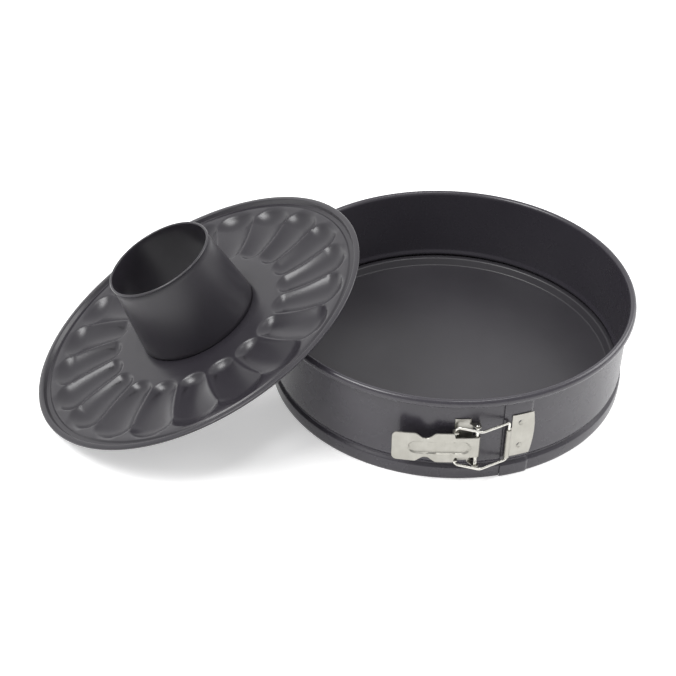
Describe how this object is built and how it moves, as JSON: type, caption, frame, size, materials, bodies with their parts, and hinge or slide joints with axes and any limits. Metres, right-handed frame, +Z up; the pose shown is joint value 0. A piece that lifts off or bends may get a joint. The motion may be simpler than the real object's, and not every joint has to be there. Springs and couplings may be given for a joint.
{
  "type": "springform pan",
  "caption": "Round springform baking pan: split band with over-centre latch and wire bail, lift-out flat base, and a second fluted base with a centre tube.",
  "frame": {"origin": "on the pan's axis, in the plane of the surface that the band's foot stands on", "axes": "+Z up along the pan's axis; -Y through the seam and the latch; +Y through the bend of the band; the spare base leans on the band at -X"},
  "size_m": [0.4387, 0.2951, 0.1197],
  "materials": {
    "nonstick_band": "satin dark anthracite non-stick coating on sheet steel",
    "nonstick_base": "satin dark anthracite non-stick coating on sheet steel",
    "latch_steel": "plain stamped steel, satin",
    "wire_steel": "drawn steel wire, satin"
  },
  "bodies": {
    "base": {"flat_base": "nonstick_base"},
    "band_left": {"band_left": "nonstick_band", "latch_bracket": "latch_steel", "pivot_pin": "wire_steel"},
    "band_right": {"band_right": "nonstick_band", "catch_plate": "latch_steel"},
    "lever": {"latch_lever": "latch_steel"},
    "bail": {"bail_wire": "wire_steel"},
    "insert": {"fluted_plate": "nonstick_base", "centre_tube": "nonstick_base"}
  },
  "joints": [
    {"name": "lever_swing", "type": "hinge", "parent": "band_left", "child": "lever", "pos_m": [-0.01851, -0.13342, 0.033], "axis": [0, 0, 1], "range_deg": [0, 95]},
    {"name": "band_left_bend", "type": "hinge", "parent": "base", "child": "band_left", "pos_m": [0, 0.1303, 0.035], "axis": [0, 0, 1], "range_deg": [-1, 0]},
    {"name": "band_right_bend", "type": "hinge", "parent": "base", "child": "band_right", "pos_m": [0, 0.1303, 0.035], "axis": [0, 0, 1], "range_deg": [0, 1]},
    {"name": "bail_swing", "type": "hinge", "parent": "band_right", "child": "bail", "pos_m": [0.00317, -0.13351, 0.033], "axis": [0, 0, 1], "range_deg": [0, 27]},
    {"name": "insert_lift", "type": "slide", "parent": "band_left", "child": "insert", "axis": [0, 0, 1], "range_m": [0, 0.12]}
  ],
  "couplings": [
    {"joint": "band_left_bend", "follows": "lever_swing", "ratio": -0.010474},
    {"joint": "band_right_bend", "follows": "lever_swing", "ratio": 0.010474},
    {"joint": "bail_swing", "follows": "lever_swing", "ratio": 0.28105}
  ]
}
